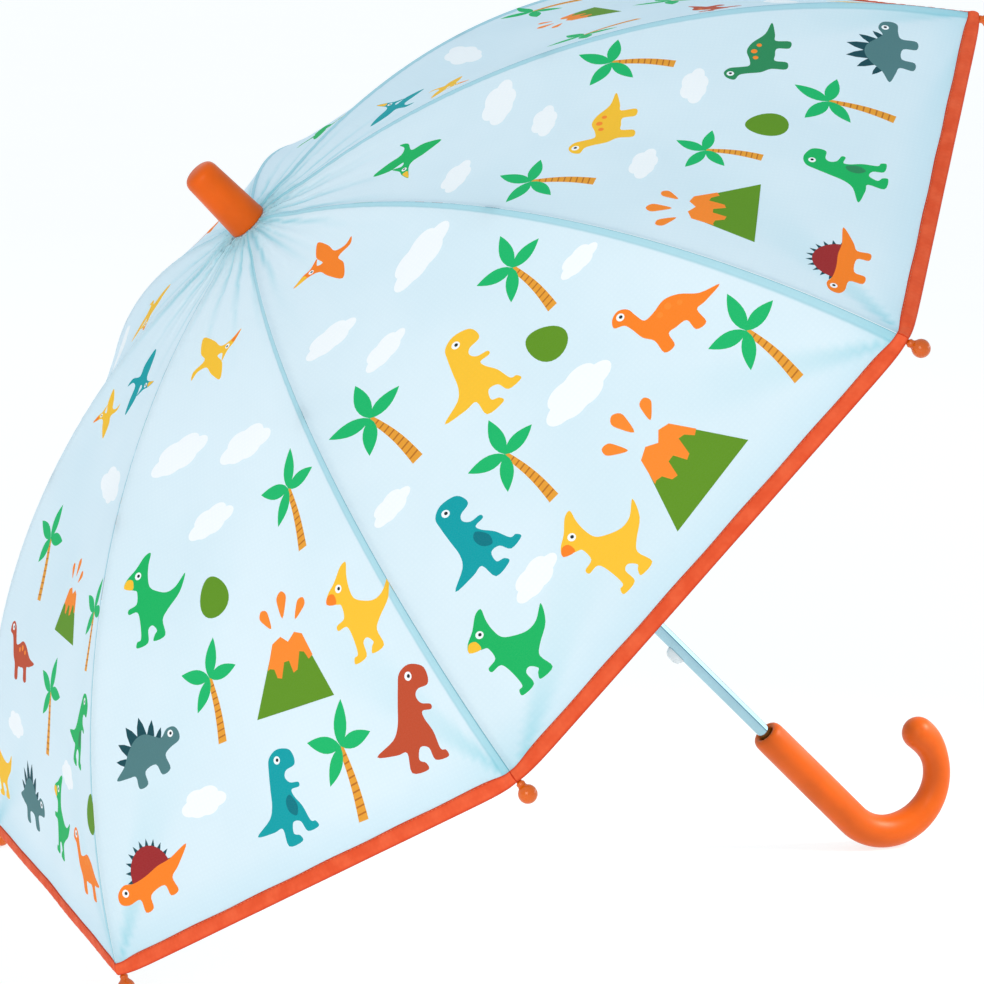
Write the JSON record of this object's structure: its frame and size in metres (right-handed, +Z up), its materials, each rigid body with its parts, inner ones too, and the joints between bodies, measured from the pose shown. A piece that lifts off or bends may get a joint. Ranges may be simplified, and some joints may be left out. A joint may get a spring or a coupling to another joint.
{
  "type": "children's umbrella",
  "caption": "Open children's stick umbrella with a printed cloth dome on folding ribs and stretchers, a sliding runner, a straight ferrule cap and a crook handle",
  "frame": {"origin": "middle of the bounding box's footprint, on the floor that the open umbrella lies on", "axes": "+Z up from the floor; +X from the canopy towards the handle, in the upright plane of the shaft; Y across, mirror-symmetric about y=0 but for the strap. The shaft lies in the XZ plane, 43.5 degrees from the floor."},
  "size_m": [0.5396, 0.6706, 0.4921],
  "materials": {
    "cloth": "satin",
    "strap_cloth": "satin",
    "rib_wire": "gloss",
    "shaft": "gloss",
    "tip_plastic": "gloss",
    "handle_plastic": "gloss",
    "cap_plastic": "satin",
    "white_plastic": "satin",
    "catch_plastic": "satin"
  },
  "bodies": {
    "frame": {"shaft_tube": "shaft", "handle": "handle_plastic", "ferrule_cap": "cap_plastic", "crown_patch": "cloth", "crown_hub": "white_plastic", "crown_wire": "rib_wire"},
    "runner": {"runner": "white_plastic", "runner_wire": "rib_wire"},
    "top_catch": {"top_catch": "catch_plastic"},
    "bottom_catch": {"bottom_catch": "catch_plastic"},
    "rib_inner_1": {"rib_inner_1": "rib_wire"},
    "rib_outer_1": {"rib_outer_1": "rib_wire", "tip_1": "tip_plastic"},
    "stretcher_1": {"stretcher_1": "rib_wire"},
    "gore_1a": {"gore_1a": "cloth"},
    "gore_1b": {"gore_1b": "cloth"},
    "rib_inner_2": {"rib_inner_2": "rib_wire"},
    "rib_outer_2": {"rib_outer_2": "rib_wire", "tip_2": "tip_plastic"},
    "stretcher_2": {"stretcher_2": "rib_wire"},
    "gore_2a": {"gore_2a": "cloth"},
    "gore_2b": {"gore_2b": "cloth", "tie_strap": "strap_cloth"},
    "rib_inner_3": {"rib_inner_3": "rib_wire"},
    "rib_outer_3": {"rib_outer_3": "rib_wire", "tip_3": "tip_plastic"},
    "stretcher_3": {"stretcher_3": "rib_wire"},
    "gore_3a": {"gore_3a": "cloth"},
    "gore_3b": {"gore_3b": "cloth"},
    "rib_inner_4": {"rib_inner_4": "rib_wire"},
    "rib_outer_4": {"rib_outer_4": "rib_wire", "tip_4": "tip_plastic"},
    "stretcher_4": {"stretcher_4": "rib_wire"},
    "gore_4a": {"gore_4a": "cloth"},
    "gore_4b": {"gore_4b": "cloth"},
    "rib_inner_5": {"rib_inner_5": "rib_wire"},
    "rib_outer_5": {"rib_outer_5": "rib_wire", "tip_5": "tip_plastic"},
    "stretcher_5": {"stretcher_5": "rib_wire"},
    "gore_5a": {"gore_5a": "cloth"},
    "gore_5b": {"gore_5b": "cloth"},
    "rib_inner_6": {"rib_inner_6": "rib_wire"},
    "rib_outer_6": {"rib_outer_6": "rib_wire", "tip_6": "tip_plastic"},
    "stretcher_6": {"stretcher_6": "rib_wire"},
    "gore_6a": {"gore_6a": "cloth"},
    "gore_6b": {"gore_6b": "cloth"},
    "rib_inner_7": {"rib_inner_7": "rib_wire"},
    "rib_outer_7": {"rib_outer_7": "rib_wire", "tip_7": "tip_plastic"},
    "stretcher_7": {"stretcher_7": "rib_wire"},
    "gore_7a": {"gore_7a": "cloth"},
    "gore_7b": {"gore_7b": "cloth"},
    "rib_inner_8": {"rib_inner_8": "rib_wire"},
    "rib_outer_8": {"rib_outer_8": "rib_wire", "tip_8": "tip_plastic"},
    "stretcher_8": {"stretcher_8": "rib_wire"},
    "gore_8a": {"gore_8a": "cloth"},
    "gore_8b": {"gore_8b": "cloth"}
  },
  "joints": [
    {"name": "rib_fold_1", "type": "hinge", "parent": "frame", "child": "rib_inner_1", "pos_m": [-0.15527, 0.00344, 0.37105], "axis": [0.2634, -0.9239, 0.2776], "range_deg": [-73, 0], "deforming": ["gore_1a", "gore_1b", "gore_2a", "gore_2b", "gore_3a", "gore_3b", "gore_4a", "gore_4b", "gore_5a", "gore_5b", "gore_6a", "gore_6b", "gore_7a", "gore_7b", "gore_8a", "gore_8b", "tie_strap"]},
    {"name": "rib_flex_1", "type": "hinge", "parent": "rib_inner_1", "child": "rib_outer_1", "pos_m": [-0.02168, 0.06866, 0.46134], "axis": [0.2634, -0.9239, 0.2776], "range_deg": [0, 19.2]},
    {"name": "stretcher_turn_1", "type": "hinge", "parent": "rib_inner_1", "child": "stretcher_1", "pos_m": [-0.01959, 0.06791, 0.45687], "axis": [0.2634, -0.9239, 0.2776], "range_deg": [0, 146.5]},
    {"name": "gore_fold_1a", "type": "hinge", "parent": "rib_inner_1", "child": "gore_1a", "pos_m": [-0.16018, 0.00781, 0.37637], "axis": [-0.8021, -0.494, -0.3356], "range_deg": [0, 64.63]},
    {"name": "gore_fold_1b", "type": "hinge", "parent": "rib_inner_1", "child": "gore_1b", "pos_m": [-0.15815, 0.0007, 0.37851], "axis": [0.8822, 0.2132, 0.4199], "range_deg": [0, 64.63]},
    {"name": "runner_travel", "type": "hinge", "parent": "stretcher_1", "child": "runner", "pos_m": [-0.09814, 0.00344, 0.31686], "axis": [0.2634, -0.9239, 0.2776], "range_deg": [-73.2, 0]},
    {"name": "rib_fold_2", "type": "hinge", "parent": "frame", "child": "rib_inner_2", "pos_m": [-0.15862, 0.00831, 0.36752], "axis": [0.6358, -0.3827, 0.6703], "range_deg": [-73, 0]},
    {"name": "rib_flex_2", "type": "hinge", "parent": "rib_inner_2", "child": "rib_outer_2", "pos_m": [-0.08851, 0.16576, 0.3909], "axis": [0.6358, -0.3827, 0.6703], "range_deg": [0, 19.2]},
    {"name": "stretcher_turn_2", "type": "hinge", "parent": "rib_inner_2", "child": "stretcher_2", "pos_m": [-0.08569, 0.16395, 0.38719], "axis": [0.6358, -0.3827, 0.6703], "range_deg": [0, 146.5]},
    {"name": "gore_fold_2a", "type": "hinge", "parent": "rib_inner_2", "child": "gore_2a", "pos_m": [-0.16575, 0.01174, 0.3705], "axis": [-0.4013, -0.9118, 0.0869], "range_deg": [0, 64.63]},
    {"name": "gore_fold_2b", "type": "hinge", "parent": "rib_inner_2", "child": "gore_2b", "pos_m": [-0.16086, 0.00879, 0.37565], "axis": [0.5946, 0.7955, 0.1168], "range_deg": [0, 64.63]},
    {"name": "rib_fold_3", "type": "hinge", "parent": "frame", "child": "rib_inner_3", "pos_m": [-0.16336, 0.00831, 0.36252], "axis": [0.6358, 0.3827, 0.6703], "range_deg": [-73, 0]},
    {"name": "rib_flex_3", "type": "hinge", "parent": "rib_inner_3", "child": "rib_outer_3", "pos_m": [-0.18302, 0.16576, 0.29127], "axis": [0.6358, 0.3827, 0.6703], "range_deg": [0, 19.2]},
    {"name": "stretcher_turn_3", "type": "hinge", "parent": "rib_inner_3", "child": "stretcher_3", "pos_m": [-0.17917, 0.16395, 0.28865], "axis": [0.6358, 0.3827, 0.6703], "range_deg": [0, 146.5]},
    {"name": "gore_fold_3a", "type": "hinge", "parent": "rib_inner_3", "child": "gore_3a", "pos_m": [-0.17161, 0.00879, 0.36433], "axis": [0.0854, -0.7955, 0.5999], "range_deg": [0, 64.63]},
    {"name": "gore_fold_3b", "type": "hinge", "parent": "rib_inner_3", "child": "gore_3b", "pos_m": [-0.16671, 0.01174, 0.36948], "axis": [0.1079, 0.9118, -0.3962], "range_deg": [0, 64.63]},
    {"name": "rib_fold_4", "type": "hinge", "parent": "frame", "child": "rib_inner_4", "pos_m": [-0.16672, 0.00344, 0.35899], "axis": [0.2634, 0.9239, 0.2776], "range_deg": [-73, 0]},
    {"name": "rib_flex_4", "type": "hinge", "parent": "rib_inner_4", "child": "rib_outer_4", "pos_m": [-0.24985, 0.06866, 0.22083], "axis": [0.2634, 0.9239, 0.2776], "range_deg": [0, 19.2]},
    {"name": "stretcher_turn_4", "type": "hinge", "parent": "rib_inner_4", "child": "stretcher_4", "pos_m": [-0.24527, 0.06791, 0.21898], "axis": [0.2634, 0.9239, 0.2776], "range_deg": [0, 146.5]},
    {"name": "gore_fold_4a", "type": "hinge", "parent": "rib_inner_4", "child": "gore_4a", "pos_m": [-0.17431, 0.0007, 0.36147], "axis": [0.3729, -0.2132, 0.903], "range_deg": [0, 64.63]},
    {"name": "gore_fold_4b", "type": "hinge", "parent": "rib_inner_4", "child": "gore_4b", "pos_m": [-0.17228, 0.00781, 0.36361], "axis": [-0.2929, 0.494, -0.8187], "range_deg": [0, 64.63]},
    {"name": "rib_fold_5", "type": "hinge", "parent": "frame", "child": "rib_inner_5", "pos_m": [-0.16672, -0.00344, 0.35899], "axis": [-0.2634, 0.9239, -0.2776], "range_deg": [-73, 0]},
    {"name": "rib_flex_5", "type": "hinge", "parent": "rib_inner_5", "child": "rib_outer_5", "pos_m": [-0.24985, -0.06866, 0.22083], "axis": [-0.2634, 0.9239, -0.2776], "range_deg": [0, 19.2]},
    {"name": "stretcher_turn_5", "type": "hinge", "parent": "rib_inner_5", "child": "stretcher_5", "pos_m": [-0.24527, -0.06791, 0.21898], "axis": [-0.2634, 0.9239, -0.2776], "range_deg": [0, 146.5]},
    {"name": "gore_fold_5a", "type": "hinge", "parent": "rib_inner_5", "child": "gore_5a", "pos_m": [-0.17228, -0.00781, 0.36361], "axis": [0.2929, 0.494, 0.8187], "range_deg": [0, 64.63]},
    {"name": "gore_fold_5b", "type": "hinge", "parent": "rib_inner_5", "child": "gore_5b", "pos_m": [-0.17431, -0.0007, 0.36147], "axis": [-0.3729, -0.2132, -0.903], "range_deg": [0, 64.63]},
    {"name": "rib_fold_6", "type": "hinge", "parent": "frame", "child": "rib_inner_6", "pos_m": [-0.16336, -0.00831, 0.36252], "axis": [-0.6358, 0.3827, -0.6703], "range_deg": [-73, 0]},
    {"name": "rib_flex_6", "type": "hinge", "parent": "rib_inner_6", "child": "rib_outer_6", "pos_m": [-0.18302, -0.16576, 0.29127], "axis": [-0.6358, 0.3827, -0.6703], "range_deg": [0, 19.2]},
    {"name": "stretcher_turn_6", "type": "hinge", "parent": "rib_inner_6", "child": "stretcher_6", "pos_m": [-0.17917, -0.16395, 0.28865], "axis": [-0.6358, 0.3827, -0.6703], "range_deg": [0, 146.5]},
    {"name": "gore_fold_6a", "type": "hinge", "parent": "rib_inner_6", "child": "gore_6a", "pos_m": [-0.16671, -0.01174, 0.36948], "axis": [-0.1079, 0.9118, 0.3962], "range_deg": [0, 64.63]},
    {"name": "gore_fold_6b", "type": "hinge", "parent": "rib_inner_6", "child": "gore_6b", "pos_m": [-0.17161, -0.00879, 0.36433], "axis": [-0.0854, -0.7955, -0.5999], "range_deg": [0, 64.63]},
    {"name": "rib_fold_7", "type": "hinge", "parent": "frame", "child": "rib_inner_7", "pos_m": [-0.15862, -0.00831, 0.36752], "axis": [-0.6358, -0.3827, -0.6703], "range_deg": [-73, 0]},
    {"name": "rib_flex_7", "type": "hinge", "parent": "rib_inner_7", "child": "rib_outer_7", "pos_m": [-0.08851, -0.16576, 0.3909], "axis": [-0.6358, -0.3827, -0.6703], "range_deg": [0, 19.2]},
    {"name": "stretcher_turn_7", "type": "hinge", "parent": "rib_inner_7", "child": "stretcher_7", "pos_m": [-0.08569, -0.16395, 0.38719], "axis": [-0.6358, -0.3827, -0.6703], "range_deg": [0, 146.5]},
    {"name": "gore_fold_7a", "type": "hinge", "parent": "rib_inner_7", "child": "gore_7a", "pos_m": [-0.16086, -0.00879, 0.37565], "axis": [-0.5946, 0.7955, -0.1168], "range_deg": [0, 64.63]},
    {"name": "gore_fold_7b", "type": "hinge", "parent": "rib_inner_7", "child": "gore_7b", "pos_m": [-0.16575, -0.01174, 0.3705], "axis": [0.4013, -0.9118, -0.0869], "range_deg": [0, 64.63]},
    {"name": "rib_fold_8", "type": "hinge", "parent": "frame", "child": "rib_inner_8", "pos_m": [-0.15527, -0.00344, 0.37105], "axis": [-0.2634, -0.9239, -0.2776], "range_deg": [-73, 0]},
    {"name": "rib_flex_8", "type": "hinge", "parent": "rib_inner_8", "child": "rib_outer_8", "pos_m": [-0.02168, -0.06866, 0.46134], "axis": [-0.2634, -0.9239, -0.2776], "range_deg": [0, 19.2]},
    {"name": "stretcher_turn_8", "type": "hinge", "parent": "rib_inner_8", "child": "stretcher_8", "pos_m": [-0.01959, -0.06791, 0.45687], "axis": [-0.2634, -0.9239, -0.2776], "range_deg": [0, 146.5]},
    {"name": "gore_fold_8a", "type": "hinge", "parent": "rib_inner_8", "child": "gore_8a", "pos_m": [-0.15815, -0.0007, 0.37851], "axis": [-0.8822, 0.2132, -0.4199], "range_deg": [0, 64.63]},
    {"name": "gore_fold_8b", "type": "hinge", "parent": "rib_inner_8", "child": "gore_8b", "pos_m": [-0.16018, -0.00781, 0.37637], "axis": [0.8021, -0.494, 0.3356], "range_deg": [0, 64.63]},
    {"name": "top_catch_press", "type": "slide", "parent": "frame", "child": "top_catch", "axis": [-0.6882, 0, -0.7255], "range_m": [-0.0039, 0], "stiffness_N_per_m": 400},
    {"name": "bottom_catch_press", "type": "slide", "parent": "frame", "child": "bottom_catch", "axis": [-0.6882, 0, -0.7255], "range_m": [-0.0039, 0], "stiffness_N_per_m": 400}
  ],
  "couplings": [
    {"joint": "rib_flex_1", "follows": "rib_fold_1", "ratio": -0.26027},
    {"joint": "stretcher_turn_1", "follows": "rib_fold_1", "ratio": -2},
    {"joint": "gore_fold_1a", "follows": "rib_fold_1", "ratio": -0.87856},
    {"joint": "gore_fold_1b", "follows": "rib_fold_1", "ratio": -0.87856},
    {"joint": "runner_travel", "follows": "rib_fold_1", "ratio": 1},
    {"joint": "rib_fold_2", "follows": "rib_fold_1", "ratio": 1},
    {"joint": "rib_flex_2", "follows": "rib_fold_1", "ratio": -0.26027},
    {"joint": "stretcher_turn_2", "follows": "rib_fold_1", "ratio": -2},
    {"joint": "gore_fold_2a", "follows": "rib_fold_1", "ratio": -0.87856},
    {"joint": "gore_fold_2b", "follows": "rib_fold_1", "ratio": -0.87856},
    {"joint": "rib_fold_3", "follows": "rib_fold_1", "ratio": 1},
    {"joint": "rib_flex_3", "follows": "rib_fold_1", "ratio": -0.26027},
    {"joint": "stretcher_turn_3", "follows": "rib_fold_1", "ratio": -2},
    {"joint": "gore_fold_3a", "follows": "rib_fold_1", "ratio": -0.87856},
    {"joint": "gore_fold_3b", "follows": "rib_fold_1", "ratio": -0.87856},
    {"joint": "rib_fold_4", "follows": "rib_fold_1", "ratio": 1},
    {"joint": "rib_flex_4", "follows": "rib_fold_1", "ratio": -0.26027},
    {"joint": "stretcher_turn_4", "follows": "rib_fold_1", "ratio": -2},
    {"joint": "gore_fold_4a", "follows": "rib_fold_1", "ratio": -0.87856},
    {"joint": "gore_fold_4b", "follows": "rib_fold_1", "ratio": -0.87856},
    {"joint": "rib_fold_5", "follows": "rib_fold_1", "ratio": 1},
    {"joint": "rib_flex_5", "follows": "rib_fold_1", "ratio": -0.26027},
    {"joint": "stretcher_turn_5", "follows": "rib_fold_1", "ratio": -2},
    {"joint": "gore_fold_5a", "follows": "rib_fold_1", "ratio": -0.87856},
    {"joint": "gore_fold_5b", "follows": "rib_fold_1", "ratio": -0.87856},
    {"joint": "rib_fold_6", "follows": "rib_fold_1", "ratio": 1},
    {"joint": "rib_flex_6", "follows": "rib_fold_1", "ratio": -0.26027},
    {"joint": "stretcher_turn_6", "follows": "rib_fold_1", "ratio": -2},
    {"joint": "gore_fold_6a", "follows": "rib_fold_1", "ratio": -0.87856},
    {"joint": "gore_fold_6b", "follows": "rib_fold_1", "ratio": -0.87856},
    {"joint": "rib_fold_7", "follows": "rib_fold_1", "ratio": 1},
    {"joint": "rib_flex_7", "follows": "rib_fold_1", "ratio": -0.26027},
    {"joint": "stretcher_turn_7", "follows": "rib_fold_1", "ratio": -2},
    {"joint": "gore_fold_7a", "follows": "rib_fold_1", "ratio": -0.87856},
    {"joint": "gore_fold_7b", "follows": "rib_fold_1", "ratio": -0.87856},
    {"joint": "rib_fold_8", "follows": "rib_fold_1", "ratio": 1},
    {"joint": "rib_flex_8", "follows": "rib_fold_1", "ratio": -0.26027},
    {"joint": "stretcher_turn_8", "follows": "rib_fold_1", "ratio": -2},
    {"joint": "gore_fold_8a", "follows": "rib_fold_1", "ratio": -0.87856},
    {"joint": "gore_fold_8b", "follows": "rib_fold_1", "ratio": -0.87856}
  ]
}
